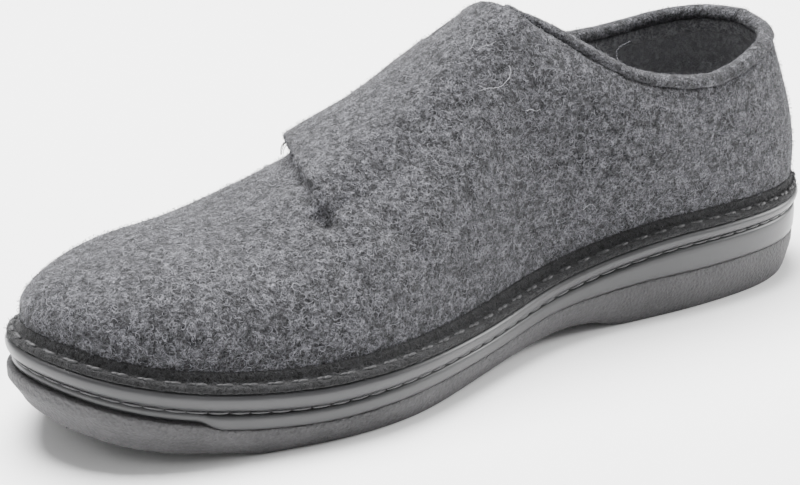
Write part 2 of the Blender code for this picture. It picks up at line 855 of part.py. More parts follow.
def build():
    clear_scene()
    felt = make_material("charcoal_felt", (0.09, 0.09, 0.10), 0.95)
    flap_felt = make_material("flap_felt", (0.11, 0.11, 0.12), 0.95)
    rim_felt = make_material("rim_felt", (0.08, 0.08, 0.09), 0.95)
    lining = make_material("insole_felt", (0.03, 0.03, 0.035), 0.95)
    black = make_material("black_welt", (0.02, 0.02, 0.022), 0.6)
    glossy = make_material("midsole_foam", (0.10, 0.10, 0.11), 0.3)
    matte = make_material("outsole_rubber", (0.07, 0.07, 0.075), 0.7)
    outsole = capped_loft("outsole", outsole_rings(), matte)
    midsole = capped_loft("midsole", midsole_rings(), glossy)
    welt = closed_loft("welt", welt_rings(), black)
    insole = capped_loft("insole", insole_rings(), lining)
    upper = upper_body(felt)
    rim = rim_body(rim_felt)
    flap = flap_body(flap_felt)
    cutter = recess_cutter(felt)
    bodies = (outsole, midsole, welt, insole, upper, rim, flap, cutter)
    stand_on_floor(bodies)
    for body in bodies:
        face_outward(body)
    cut(upper, cutter)


build()
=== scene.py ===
# Felt slipper: felt upper with a wide flap, stitched black welt, two-band midsole and pebbled outsole
import json
import math
import bpy
import bmesh
import numpy as np
from mathutils import Matrix, Vector
from mathutils.bvhtree import BVHTree

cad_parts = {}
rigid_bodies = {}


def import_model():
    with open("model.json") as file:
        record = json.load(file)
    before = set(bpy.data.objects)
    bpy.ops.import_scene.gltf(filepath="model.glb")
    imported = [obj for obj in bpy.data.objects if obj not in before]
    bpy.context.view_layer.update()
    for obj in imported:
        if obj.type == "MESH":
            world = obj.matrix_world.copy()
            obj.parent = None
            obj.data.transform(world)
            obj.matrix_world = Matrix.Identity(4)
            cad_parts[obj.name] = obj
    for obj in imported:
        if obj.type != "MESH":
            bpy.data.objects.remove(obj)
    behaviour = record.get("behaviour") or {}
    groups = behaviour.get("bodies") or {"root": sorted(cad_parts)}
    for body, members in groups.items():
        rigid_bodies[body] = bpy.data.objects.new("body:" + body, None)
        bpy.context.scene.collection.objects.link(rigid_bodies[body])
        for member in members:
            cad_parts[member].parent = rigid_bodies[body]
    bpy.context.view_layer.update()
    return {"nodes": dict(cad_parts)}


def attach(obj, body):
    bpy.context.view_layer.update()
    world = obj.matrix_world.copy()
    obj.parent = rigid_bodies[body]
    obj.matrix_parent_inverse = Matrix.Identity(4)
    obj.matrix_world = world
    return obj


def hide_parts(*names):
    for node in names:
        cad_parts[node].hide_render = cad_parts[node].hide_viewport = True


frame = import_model()
print("frame loaded:", sorted(frame["nodes"]))

mm = 0.001

# the last and the sole, in millimetres, as the solids have them
shoe = {
    "length": 298.0,
    "ballWidth": 111.0,
    "heelHeight": 29.0,
    "forefootHeight": 18.9,
    "toeSpring": 14.4,
    "heelRamp": (70.0, 165.0),
    "toeRise": 215.0,
    "bumper": (256.0, 262.0),
    "samples": 480,
    # distance from the heel, inner and outer half width, as shares
    "outline": (
        (0.000, 0.000, 0.000), (0.034, 0.221, 0.216), (0.084, 0.315, 0.306),
        (0.168, 0.358, 0.356), (0.252, 0.356, 0.378), (0.336, 0.335, 0.392),
        (0.419, 0.333, 0.410), (0.503, 0.387, 0.446), (0.587, 0.459, 0.486),
        (0.671, 0.503, 0.509), (0.738, 0.497, 0.505), (0.805, 0.462, 0.462),
        (0.872, 0.414, 0.383), (0.923, 0.354, 0.284), (0.966, 0.260, 0.167),
        (0.990, 0.158, 0.068), (1.000, 0.045, -0.045),
    ),
    # distance from the heel, band, groove and wedge depth, lift off the floor, undercut
    "side": (
        (0.0, 4.0, 1.4, 8.8, 2.2, 5.2), (6.0, 4.0, 1.4, 8.8, 0.5, 4.8),
        (14.0, 4.0, 1.4, 8.8, 0.0, 4.4), (68.0, 4.1, 1.4, 8.7, 0.0, 4.2),
        (94.0, 4.3, 1.2, 7.2, 0.0, 4.2), (101.0, 4.3, 1.2, 6.7, 0.9, 4.2),
        (109.0, 4.4, 1.1, 6.1, 3.2, 4.2), (120.0, 4.5, 1.0, 5.0, 3.9, 4.2),
        (136.0, 4.5, 0.9, 4.3, 3.0, 4.2), (165.0, 4.6, 0.8, 4.1, 1.3, 4.2),
        (192.0, 5.1, 0.8, 4.3, 0.0, 4.2), (232.0, 5.7, 0.9, 4.5, 0.0, 4.2),
        (241.0, 5.6, 1.1, 4.5, 0.0, 4.2), (254.0, 5.4, 1.3, 4.4, 2.2, 4.2),
        (262.0, 5.4, 1.3, 2.6, 3.2, 4.2), (272.0, 5.4, 1.3, 2.5, 4.7, 4.4),
        (284.0, 5.3, 1.3, 2.4, 7.4, 4.8), (292.0, 5.2, 1.3, 2.3, 9.8, 5.2),
        (298.0, 5.1, 1.3, 2.2, 12.4, 5.6),
    ),
    # share of the way from heel to toe, width of the welt
    "flange": (
        (0.0, 2.4), (0.06, 2.8), (0.13, 4.4), (0.22, 6.2), (0.31, 6.9), (0.39, 7.0),
        (0.65, 7.0), (0.76, 6.8), (0.88, 6.0), (1.0, 5.0),
    ),
}


def smoothStep(start, end, value):
    t = np.clip((value - start) / (end - start), 0.0, 1.0)
    return t * t * (3.0 - 2.0 * t)


def easedColumn(rows, column, keys):
    # a smooth curve through one column of a table, with no overshoot
    table = np.array(rows)
    xs, ys = table[:, 0], table[:, column]
    steps = np.diff(xs)
    rises = np.diff(ys) / steps
    slopes = np.zeros(len(xs))
    slopes[0], slopes[-1] = rises[0], rises[-1]
    for k in range(1, len(xs) - 1):
        if rises[k - 1] * rises[k] > 0.0:
            first, second = 2.0 * steps[k] + steps[k - 1], steps[k] + 2.0 * steps[k - 1]
            slopes[k] = (first + second) / (first / rises[k - 1] + second / rises[k])
    k = np.clip(np.searchsorted(xs, keys) - 1, 0, len(xs) - 2)
    width = steps[k]
    t = np.clip((keys - xs[k]) / width, 0.0, 1.0)
    rise = width * (t * (1 - t) ** 2 * slopes[k] - t * t * (1 - t) * slopes[k + 1])
    return (1 + 2 * t) * (1 - t) ** 2 * ys[k] + t * t * (3 - 2 * t) * ys[k + 1] + rise


def closedSpline(points, count):
    chords = np.linalg.norm(np.roll(points, -1, axis=0) - points, axis=1)
    knots = np.concatenate([[0.0], np.cumsum(chords)])
    size = len(points)
    system, right = np.zeros((size, size)), np.zeros((size, 2))
    for k in range(size):
        before, after, following = chords[k - 1], chords[k], (k + 1) % size
        system[k, k - 1] += before
        system[k, k] += 2.0 * (before + after)
        system[k, following] += after
        right[k] = 6.0 * ((points[following] - points[k]) / after - (points[k] - points[k - 1]) / before)
    bends = np.linalg.solve(system, right)
    places = np.linspace(0.0, knots[-1], count, endpoint=False)
    k = np.clip(np.searchsorted(knots, places, side="right") - 1, 0, size - 1)
    width = chords[k][:, None]
    there = ((places - knots[k])[:, None]) / width
    here = 1.0 - there
    following = (k + 1) % size
    bent = (here ** 3 - here) * bends[k] + (there ** 3 - there) * bends[following]
    return here * points[k] + there * points[following] + bent * width * width / 6.0


class Sole:
    # the outline of the sole sampled evenly all round, with its heights at every sample

    def __init__(self, shoe):
        rows = np.array(shoe["outline"])
        along = shoe["length"] / 2.0 - rows[:, 0] * shoe["length"]
        inner = np.column_stack([along, -rows[:, 1] * shoe["ballWidth"]])
        outer = np.column_stack([along, rows[:, 2] * shoe["ballWidth"]])
        dense = closedSpline(np.vstack([inner, outer[::-1][1:-1]]), 4800)
        steps = np.linalg.norm(np.roll(dense, -1, axis=0) - dense, axis=1)
        way = np.concatenate([[0.0], np.cumsum(steps)])
        self.round = way[-1]
        toe = way[int(np.argmin(np.linalg.norm(dense - inner[-1], axis=1)))]
        even = np.linspace(0.0, self.round, shoe["samples"], endpoint=False)
        wrapped = np.vstack([dense, dense[:1]])
        self.plan = np.column_stack([np.interp(even, way, wrapped[:, c]) for c in (0, 1)])
        self.plan[:, 1] -= (self.plan[:, 1].max() + self.plan[:, 1].min()) / 2.0
        turn = np.roll(self.plan, -1, axis=0) - np.roll(self.plan, 1, axis=0)
        turn /= np.linalg.norm(turn, axis=1)[:, None]
        self.inward = np.column_stack([turn[:, 1], -turn[:, 0]])
        self.even = even
        self.share = np.where(even <= toe, even / toe, (self.round - even) / (self.round - toe))
        self.along = shoe["length"] / 2.0 - self.plan[:, 0]
        ramp = smoothStep(*shoe["heelRamp"], self.along)
        rise = np.maximum((self.along - shoe["toeRise"]) / (shoe["length"] - shoe["toeRise"]), 0.0)
        drop = (shoe["forefootHeight"] - shoe["heelHeight"]) * ramp
        self.edge = shoe["heelHeight"] + drop + shoe["toeSpring"] * rise * rise
        self.band, self.groove, self.wedge, self.lift, self.undercut = (
            easedColumn(shoe["side"], column, self.along) for column in range(1, 6)
        )
        self.bumper = smoothStep(*shoe["bumper"], self.along)
        self.flange = easedColumn(shoe["flange"], 1, self.share)
        self.levels = [self.edge, self.edge - self.band, self.edge - self.band - self.groove,
                       self.edge - self.band - self.groove - self.wedge]

    def level(self, number):
        low = min(int(number), 2)
        return self.levels[low] + (number - low) * (self.levels[low + 1] - self.levels[low])

    def ring(self, inset, height):
        flat = self.plan + self.inward * (np.zeros(len(self.plan)) + inset)[:, None]
        return np.column_stack([flat, np.zeros(len(flat)) + height]) * mm

    def placed(self, pitch, inset, height, start=0.0):
        # evenly spaced places round the sole, with the direction of the edge at each
        count = int(round(self.round / pitch))
        ways = (np.arange(count) + start) * self.round / count
        ring = self.ring(inset, height)
        closed = np.vstack([ring, ring[:1]])
        even = np.append(self.even, self.round)
        at = lambda w: np.array([np.interp(w % self.round, even, closed[:, c]) for c in range(3)])
        for w in ways:
            heading = Vector(at(w + 1.0) - at(w - 1.0)).normalized()
            yield Vector(at(w)), heading


sole = Sole(shoe)
print("outline ready, %.0f mm round the sole" % sole.round)


# helpers for meshes

def finished(name, bm, material, smooth=True):
    mesh = bpy.data.meshes.new(name)
    bm.to_mesh(mesh)
    bm.free()
    mesh.materials.append(material)
    for face in mesh.polygons:
        face.use_smooth = smooth
    piece = bpy.data.objects.new(name, mesh)
    bpy.context.scene.collection.objects.link(piece)
    return piece


def loopEdges(bm, verts):
    return [bm.edges.get((verts[k], verts[(k + 1) % len(verts)])) for k in range(len(verts))]


def loftedRings(name, rings, material, closed=False):
    # a circle is extruded from ring to ring; the ends are capped, or joined into a tube
    bm = bmesh.new()
    circle = bmesh.ops.create_circle(bm, segments=len(rings[0]), radius=0.1, cap_ends=False)["verts"]
    for vert, place in zip(circle, rings[0]):
        vert.co = place
    current = list(circle)
    first = list(circle)
    for ring in rings[1:]:
        grown = bmesh.ops.extrude_edge_only(bm, edges=loopEdges(bm, current))["geom"]
        fresh = {v for v in grown if isinstance(v, bmesh.types.BMVert)}
        following = []
        for vert in current:
            following.append(next(e.other_vert(vert) for e in vert.link_edges if e.other_vert(vert) in fresh))
        for vert, place in zip(following, ring):
            vert.co = place
        current = following
    firstEdges, lastEdges = loopEdges(bm, first), loopEdges(bm, current)
    if closed:
        bmesh.ops.bridge_loops(bm, edges=firstEdges + lastEdges)
    else:
        for verts, edges in ((first, firstEdges), (current, lastEdges)):
            half = len(verts) // 2
            bmesh.ops.bridge_loops(bm, edges=edges[1:half - 1] + edges[half + 1:-1])
            bmesh.ops.contextual_create(bm, geom=[verts[-1], verts[0], verts[1]])
            bmesh.ops.contextual_create(bm, geom=[verts[half - 1], verts[half], verts[half + 1]])
    bmesh.ops.recalc_face_normals(bm, faces=bm.faces)
    return finished(name, bm, material)


def nodeCopy(*nodes):
    # the welded copy of some of the frame's solids
    bm = bmesh.new()
    for node in nodes:
        bm.from_mesh(frame["nodes"][node].data)
    bmesh.ops.remove_doubles(bm, verts=bm.verts, dist=0.00001)
    return bm


# helpers for materials

def newMaterial(name, **values):
    material = bpy.data.materials.new(name)
    material.use_nodes = True
    shader = material.node_tree.nodes["Principled BSDF"]
    for socket, value in values.items():
        shader.inputs[socket].default_value = value
    return material, material.node_tree, shader


def wire(tree, kind, inputs=(), **settings):
    node = tree.nodes.new(kind)
    for key, value in settings.items():
        setattr(node, key, value)
    for socket, value in dict(inputs).items():
        if isinstance(value, bpy.types.NodeSocket):
            tree.links.new(value, node.inputs[socket])
        else:
            node.inputs[socket].default_value = value
    return node


def sums(tree, operation, first, second=0.0, clamp=False):
    node = wire(tree, "ShaderNodeMath", {0: first, 1: second}, operation=operation, use_clamp=clamp)
    return node.outputs[0]


def ranged(tree, value, low, high, start, end):
    node = wire(tree, "ShaderNodeMapRange", {"Value": value, "From Min": low, "From Max": high,
                                             "To Min": start, "To Max": end})
    return node.outputs[0]


def noiseField(tree, where, scale, detail=2.0, roughness=0.5, distortion=0.0):
    node = wire(tree, "ShaderNodeTexNoise", {"Vector": where, "Scale": scale, "Detail": detail,
                                             "Roughness": roughness, "Distortion": distortion})
    return node.outputs["Fac"]


def moved(tree, where, offset):
    return wire(tree, "ShaderNodeMapping", {"Vector": where, "Location": offset}).outputs[0]


def strands(tree, where, scale, width, offset, distortion):
    # thin curly lines: where a noise passes through its middle value
    field = noiseField(tree, moved(tree, where, offset), scale, 1.5, 0.5, distortion)
    away = sums(tree, "ABSOLUTE", sums(tree, "SUBTRACT", field, 0.5))
    return ranged(tree, away, 0.0, width, 1.0, 0.0)


def twoColours(tree, factor, first, second):
    node = wire(tree, "ShaderNodeMix", {0: factor, 6: first, 7: second}, data_type="RGBA")
    return node.outputs[2]


def bumped(tree, shader, height, distance, strength=1.0):
    node = wire(tree, "ShaderNodeBump", {"Height": height, "Distance": distance, "Strength": strength})
    tree.links.new(node.outputs[0], shader.inputs["Normal"])


felt = {
    "dark": (0.0028, 0.0028, 0.0037, 1.0),
    "middle": (0.049, 0.0485, 0.0545, 1.0),
    "pale": (0.27, 0.27, 0.30, 1.0),
    "strandScales": (680.0, 980.0, 520.0),
    "strandWidth": 0.055,
    "fineScale": 1000.0,
    "patchScale": 360.0,
    "cloudScale": 22.0,
    "poreScale": 1150.0,
    "poreDepth": 0.15,
    "bump": 0.00045,
}


def feltMaterial(name, look, tone=1.0, paleness=1.0):
    material, tree, shader = newMaterial(name, **{"Roughness": 0.95, "Sheen Weight": 0.12,
                                                  "Sheen Roughness": 0.6, "Specular IOR Level": 0.1})
    where = wire(tree, "ShaderNodeTexCoord").outputs["Object"]
    total = None
    for number, scale in enumerate(look["strandScales"]):
        line = strands(tree, where, scale, look["strandWidth"], (0.37 * number, 0.11, 0.53 * number), 1.8)
        mask = ranged(tree, noiseField(tree, moved(tree, where, (0.2, 0.7 * number, 0.1)), scale * 0.5, 2.0),
                      0.44, 0.58, 0.0, 1.0)
        line = sums(tree, "MULTIPLY", line, mask)
        total = line if total is None else sums(tree, "MAXIMUM", total, line)
    fine = noiseField(tree, where, look["fineScale"], 3.0, 0.7, 0.6)
    patch = noiseField(tree, where, look["patchScale"], 3.0, 0.6, 0.4)
    cloud = noiseField(tree, where, look["cloudScale"], 2.0, 0.5)
    ground = sums(tree, "ADD", sums(tree, "MULTIPLY", fine, 0.60), sums(tree, "MULTIPLY", patch, 0.40))
    ground = sums(tree, "ADD", ground, sums(tree, "MULTIPLY", sums(tree, "SUBTRACT", cloud, 0.5), 0.14))
    ground = ranged(tree, ground, 0.435, 0.572, 0.0, 1.0)
    shade = lambda colour, by: tuple(c * by for c in colour[:3]) + (1.0,)
    cloth = twoColours(tree, ground, shade(look["dark"], tone), shade(look["middle"], tone))
    pores = ranged(tree, noiseField(tree, moved(tree, where, (0.5, 0.3, 0.9)), look["poreScale"], 2.0, 0.6),
                   0.38, 0.50, look["poreDepth"], 1.0)
    strength = sums(tree, "MULTIPLY", total, ranged(tree, patch, 0.38, 0.62, 0.25, 0.95))
    colour = twoColours(tree, strength, cloth, shade(look["pale"], tone * paleness))
    colour = twoColours(tree, pores, shade(look["dark"], tone), colour)
    tree.links.new(colour, shader.inputs["Base Color"])
    height = sums(tree, "ADD", sums(tree, "MULTIPLY", total, 0.5), sums(tree, "MULTIPLY", ground, 0.7))
    bumped(tree, shader, height, look["bump"])
    return material


def fibreMaterial(name, colour):
    material, tree, shader = newMaterial(name, **{"Base Color": colour, "Roughness": 0.7,
                                                  "Specular IOR Level": 0.2, "Sheen Weight": 0.2})
    return material


charcoalFelt = feltMaterial("charcoalFelt", felt)
rimFelt = feltMaterial("rimFelt", felt, 0.95, 1.1)
# the lining and the collar band are coloured far lighter than the outer felt: painted fill light on the shaded inside
# of the shoe, over the dark felt they really are
liningFeltPaintedFill = feltMaterial("liningFeltPaintedFill", dict(felt, poreDepth=1.0, dark=(0.20, 0.20, 0.21), middle=(0.32, 0.32, 0.336),
                                             pale=(0.37, 0.37, 0.39)))
footbedFelt = feltMaterial("footbedFelt", felt, 0.8, 0.4)
weltFelt = feltMaterial("weltFelt", felt, 0.26, 0.25)
# the collar band's grey is likewise lightened with painted fill light
collarBandPaintedFill = feltMaterial("collarBandPaintedFill", dict(felt, dark=(0.15, 0.15, 0.158), middle=(0.38, 0.38, 0.40),
                                                     pale=(0.48, 0.48, 0.50)))
paleFibre = fibreMaterial("paleFibre", (0.168, 0.168, 0.186, 1.0))
greyFibre = fibreMaterial("greyFibre", (0.040, 0.040, 0.045, 1.0))
blackFibre = fibreMaterial("blackFibre", (0.022, 0.022, 0.024, 1.0))
brightFibre = fibreMaterial("brightFibre", (0.40, 0.40, 0.43, 1.0))
darkFibre = fibreMaterial("darkFibre", (0.07, 0.07, 0.075, 1.0))
print("felt mixed")

rubber = {"colour": (0.032, 0.0315, 0.033, 1.0), "light": (0.078, 0.0765, 0.079, 1.0), "pebble": 900.0}
foam = {"colour": (0.021, 0.021, 0.0225, 1.0), "light": (0.029, 0.029, 0.0305, 1.0)}


def rubberMaterial():
    material, tree, shader = newMaterial("pebbledRubber", **{"Roughness": 0.75, "Specular IOR Level": 0.35})
    where = wire(tree, "ShaderNodeTexCoord").outputs["Object"]
    cells = wire(tree, "ShaderNodeTexVoronoi", {"Vector": where, "Scale": rubber["pebble"]}).outputs["Distance"]
    speckle = noiseField(tree, where, 800.0, 2.0, 0.7)
    dust = sums(tree, "ADD", sums(tree, "MULTIPLY", noiseField(tree, where, 60.0, 4.0, 0.6), 0.5),
                sums(tree, "MULTIPLY", speckle, 0.5))
    colour = twoColours(tree, ranged(tree, dust, 0.3, 0.7, 0.0, 1.0), rubber["colour"], rubber["light"])
    tree.links.new(colour, shader.inputs["Base Color"])
    tree.links.new(ranged(tree, dust, 0.3, 0.7, 0.6, 0.8), shader.inputs["Roughness"])
    grit = noiseField(tree, where, 1100.0, 2.0, 0.6)
    bumped(tree, shader, sums(tree, "ADD", sums(tree, "MULTIPLY", cells, 0.8), grit), 0.0005, 0.9)
    return material


def foamMaterial():
    material, tree, shader = newMaterial("mouldedFoam", **{"Roughness": 0.42, "Coat Weight": 0.25,
                                                           "Coat Roughness": 0.3,
                                                           "Specular IOR Level": 0.36})
    where = wire(tree, "ShaderNodeTexCoord").outputs["Object"]
    cloud = noiseField(tree, where, 40.0, 4.0, 0.6)
    fine = noiseField(tree, where, 700.0, 3.0, 0.6)
    colour = twoColours(tree, ranged(tree, cloud, 0.3, 0.7, 0.0, 1.0), foam["colour"], foam["light"])
    tree.links.new(colour, shader.inputs["Base Color"])
    tree.links.new(ranged(tree, cloud, 0.3, 0.7, 0.36, 0.50), shader.inputs["Roughness"])
    bumped(tree, shader, sums(tree, "ADD", fine, sums(tree, "MULTIPLY", cloud, 2.0)), 0.00012, 0.35)
    return material


def threadMaterial(name, colour, sheen):
    material, tree, shader = newMaterial(name, **{"Roughness": 0.55, "Sheen Weight": sheen})
    where = wire(tree, "ShaderNodeTexCoord").outputs["Object"]
    twist = noiseField(tree, where, 1500.0, 2.0, 0.6)
    darker = tuple(c * 0.6 for c in colour) + (1.0,)
    tree.links.new(twoColours(tree, twist, darker, tuple(colour) + (1.0,)), shader.inputs["Base Color"])
    bumped(tree, shader, twist, 0.0002)
    return material


pebbledRubber = rubberMaterial()
mouldedFoam = foamMaterial()
weltThread = threadMaterial("weltThread", (0.014, 0.014, 0.0155), 0.06)
grooveThread = threadMaterial("grooveThread", (0.050, 0.050, 0.053), 0.2)
seamThread = threadMaterial("seamThread", (0.24, 0.24, 0.25), 0.2)
print("rubber, foam and thread mixed")


# sole

midsole = {
    # inset, inset behind the bumper, level (0 edge, 1 band, 2 groove, 3 wedge), drop
    "edge": (
        (4.0, 4.0, 0.0, 0.00), (2.0, 2.0, 0.0, -0.05), (1.2, 1.2, 0.0, 0.08), (0.55, 0.55, 0.0, 0.42),
        (0.15, 0.15, 0.0, 0.95), (0.00, 0.00, 0.34, 0.0), (0.06, 0.06, 0.52, 0.0), (0.30, 0.30, 0.70, 0.0),
        (0.65, 0.65, 0.85, 0.0), (1.15, 1.15, 0.96, 0.0), (1.80, 1.80, 1.0, 0.10), (2.50, 2.50, 1.0, 0.25),
        (2.60, 2.60, 1.4, 0.0),
        (2.50, 2.50, 1.75, 0.0), (2.10, 2.20, 2.0, -0.18), (1.30, 2.00, 2.0, 0.0), (0.95, 1.85, 2.1, 0.0),
        (0.80, 1.70, 2.35, 0.0), (0.80, 1.70, 2.65, 0.0), (0.95, 1.85, 2.9, 0.0), (1.35, 2.10, 3.0, 0.0),
        (3.00, 3.00, 3.0, 0.0),
    ),
}


def makeMidsole():
    rings = []
    for inset, toeInset, level, drop in midsole["edge"]:
        rings.append(sole.ring(inset + (toeInset - inset) * sole.bumper, sole.level(level) - drop))
    piece = loftedRings("midsoleBands", rings, mouldedFoam)
    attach(piece, "root")
    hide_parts("midsole")
    return piece


outsole = {
    # inset, share of the bumper, share of the undercut, share of the height, drop
    "edge": (
        (3.0, 0.0, 0.00, 1.00, 0.00), (2.0, 1.0, 0.00, 1.00, 0.00), (1.5, 1.0, 0.00, 1.00, 0.15),
        (1.3, 1.0, 0.00, 1.00, 0.60), (1.25, 1.0, 0.00, 0.88, 0.0), (1.3, 1.0, 0.00, 0.70, 0.0),
        (1.45, 0.6, 0.10, 0.55, 0.0), (1.6, 0.25, 0.25, 0.40, 0.0), (1.6, 0.0, 0.42, 0.26, 0.0),
        (1.6, 0.0, 0.62, 0.13, 0.0), (1.6, 0.0, 0.82, 0.04, 0.0), (1.6, 0.0, 1.05, 0.00, 0.0),
    ),
    "proud": 1.3,
    "gap": 0.1,
    # inset past the edge and height over the floor, for the tread's rim and the ground behind it
    "floor": ((2.2, 0.0), (2.6, 1.3)),
    "bar": {"pitch": 7.6, "width": 4.4, "wave": 1.3, "wavelength": 15.0, "clear": 3.4, "from": 12.0, "to": 286.0},
}


def makeOutsole():
    rings = []
    top = sole.levels[3] - outsole["gap"]
    for inset, bumper, under, rise, drop in outsole["edge"]:
        reach = inset + under * (sole.undercut - inset) - bumper * outsole["proud"] * sole.bumper
        rings.append(sole.ring(reach, sole.lift + rise * (top - sole.lift) - drop))
    for further, height in outsole["floor"]:
        rings.append(sole.ring(reach + further, sole.lift + height))
    piece = loftedRings("outsoleShell", rings, pebbledRubber)
    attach(piece, "root")
    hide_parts("outsole")
    makeTread(reach + outsole["floor"][-1][0])


def makeTread(inset):
    # wavy bars across the sole, level with its rim
    bar = outsole["bar"]
    edge = sole.ring(inset, 0.0) / mm
    half = len(edge) // 2
    inner, outer = edge[:half], edge[half:][::-1]
    order = np.argsort(sole.along[:half])
    liftAlong, lifts = sole.along[:half][order], sole.lift[:half][order]
    bm = bmesh.new()
    for along in np.arange(bar["from"], bar["to"], bar["pitch"]):
        x = shoe["length"] / 2.0 - along
        near = np.interp(-x, -inner[:, 0], inner[:, 1]) + bar["clear"]
        far = np.interp(-x, -outer[:, 0], outer[:, 1]) - bar["clear"]
        if far - near < 8.0:
            continue
        grid = bmesh.ops.create_grid(bm, x_segments=2, y_segments=26, size=1.0)["verts"]
        for vert in grid:
            y = near + (far - near) * (vert.co.y + 1.0) / 2.0
            swing = bar["wave"] * math.sin(2.0 * math.pi * y / bar["wavelength"])
            place = x + swing + vert.co.x * bar["width"] / 2.0
            height = float(np.interp(shoe["length"] / 2.0 - place, liftAlong, lifts))
            vert.co = Vector((place, y, height + 0.02)) * mm
        faces = list({face for vert in grid for face in vert.link_faces})
        grown = bmesh.ops.extrude_face_region(bm, geom=faces, use_keep_orig=True)["geom"]
        for item in grown:
            if isinstance(item, bmesh.types.BMVert):
                item.co.z += 1.5 * mm
    bmesh.ops.recalc_face_normals(bm, faces=bm.faces)
    piece = finished("treadBars", bm, pebbledRubber, smooth=False)
    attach(piece, "root")


welt = {
    "start": 0.7,
    # share of the way from the outer edge to the felt, height over the sole edge
    "edge": (
        (0.00, 0.25), (-0.02, 0.7), (0.00, 1.3), (0.05, 1.75), (0.13, 1.95), (0.28, 2.0), (0.45, 1.95),
        (0.58, 2.05), (0.66, 2.5), (0.73, 3.3), (0.80, 4.1), (0.88, 4.6), (0.97, 4.7), (1.02, 4.3), (1.0, 0.25),
    ),
    "stitchPitch": 7.5,
    "lobes": (((-0.9, 0.15, 0.0), (1.7, 0.72, 0.75), 10.0), ((1.0, -0.15, -0.1), (1.55, 0.66, 0.65), 4.0)),
    "stitchShare": 0.36,
}


def makeWelt():
    rings = []
    for part, height in welt["edge"]:
        inset = welt["start"] + part * (sole.flange - 0.3 - welt["start"])
        rings.append(sole.ring(inset, sole.edge + height))
    piece = loftedRings("weltStrip", rings, weltFelt, closed=True)
    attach(piece, "root")
    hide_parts("welt")
    return piece


def stitchRow(name, places, lobes, material):
    # each stitch is a few lobes: offset and half size along, across and up, and a turn
    bm = bmesh.new()
    for place, heading in places:
        sideways = Vector((0, 0, 1)).cross(heading).normalized()
        frameTurn = Matrix((heading, sideways, heading.cross(sideways))).transposed().to_4x4()
        for offset, size, tilt in lobes:
            shape = Matrix.Diagonal((*(s * mm for s in size), 1.0)) @ Matrix.Rotation(math.pi / 2, 4, "Y")
            turn = Matrix.Rotation(math.radians(tilt), 4, "Z")
            put = Matrix.Translation(place) @ frameTurn @ Matrix.Translation(Vector(offset) * mm) @ turn @ shape
            bmesh.ops.create_uvsphere(bm, u_segments=8, v_segments=7, radius=1.0, matrix=put)
    piece = finished(name, bm, material)
    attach(piece, "root")
    return piece


def makeStitches():
    inset = welt["start"] + welt["stitchShare"] * (sole.flange - 0.3 - welt["start"])
    row = stitchRow("weltStitches", sole.placed(welt["stitchPitch"], inset, sole.edge + 2.1),
                    welt["lobes"], weltThread)
    dashes = stitchRow("grooveStitches", sole.placed(6.2, 1.9, sole.level(1.5), 0.4),
                       (((0.0, 0.0, 0.0), (2.95, 0.5, 0.42), 0.0),), grooveThread)


makeMidsole()
makeOutsole()
weltStrip = makeWelt()
makeStitches()
print("sole and welt made")


# felt shell

shell = {
    "voxel": 1.08,
    "closing": 0.55,
    "smoothing": 5,
    "pull": 0.75,
    "pullReach": 2.0,
    "outward": 0.35,
    "liningDepth": 10.5,
    # listed folds: points on the felt, half width, depth (a ridge when negative)
    # the flap's front edge is rounded, and soft where it sinks into the quarter: points, reach, smoothing
    "rounded": ((-49.8, 3.0, 66.0), (-47.0, 10.0, 69.0), (-44.0, 16.0, 69.5), (-40.0, 22.0, 67.0)),
    "roundReach": 5.0,
    "roundTimes": 14,
    "thickened": (4.5, -0.9),
    "softened": ((-54.0, -8.0, 61.6), (-56.5, -15.5, 59.4), (-57.0, -21.0, 57.8), (-57.5, -28.0, 55.5)),
    "filled": ((-56.0, -5.0, 60.4), (-59.6, -12.0, 58.4), (-60.8, -18.0, 57.0), (-61.0, -24.0, 55.4)),
    "softReach": 7.0,
    "softTimes": 30,
    "folds": (
        (((-50.6, 3.0, 62.2), (-54.4, -7.2, 61.2)), 2.4, 0.4),
        (((5.2, 14.9, 93.1), (8.3, 13.8, 95.5), (11.5, 12.7, 97.9), (14.3, 11.2, 100.1), (16.6, 8.8, 102.5)), 14.0, 2.5),
        (((21.1, -5.3, 107.0), (26.6, -1.6, 105.2), (28.0, -3.4, 105.2)), 7.0, -0.6),
        (((-57.9, -20.5, 58.0), (-57.2, -25.0, 57.6), (-55.6, -28.5, 56.0)), 5.0, 3.1),
        (((-55.5, -25.2, 58.2), (-50.6, -23.8, 60.5), (-46.9, -23.6, 61.8)), 2.6, 0.9),
        (((-55.1, -27.5, 55.9), (-56.3, -32.6, 53.3), (-58.1, -38.4, 48.7), (-60.0, -43.0, 42.0)), 5.5, 1.1),
        (((-15.4, -9.5, 84.7), (-16.9, -15.9, 81.2), (-17.2, -20.0, 76.6)), 2.2, 0.6),
        (((-43.0, -33.0, 58.0), (-38.0, -38.5, 52.0), (-32.2, -43.0, 42.4)), 9.0, 1.0),
        (((-46.0, -30.0, 60.0), (-47.0, -36.0, 54.0), (-47.0, -42.0, 44.0)), 7.0, -0.6),
        (((-88.0, -12.0, 55.0), (-84.0, -24.0, 50.0), (-82.0, -34.0, 42.0)), 9.0, 0.6),
    ),
}


def swollen(bm, distance):
    bm.normal_update()
    moves = [(v, v.normal * distance) for v in bm.verts]
    for vert, move in moves:
        vert.co += move


def smoothed(bm, times):
    for _ in range(times):
        bmesh.ops.smooth_vert(bm, verts=bm.verts, factor=0.5, use_axis_x=True, use_axis_y=True, use_axis_z=True)


def evaluated(piece):
    mesh = bpy.data.meshes.new_from_object(piece.evaluated_get(bpy.context.evaluated_depsgraph_get()))
    bpy.data.objects.remove(piece, do_unlink=True)
    return mesh


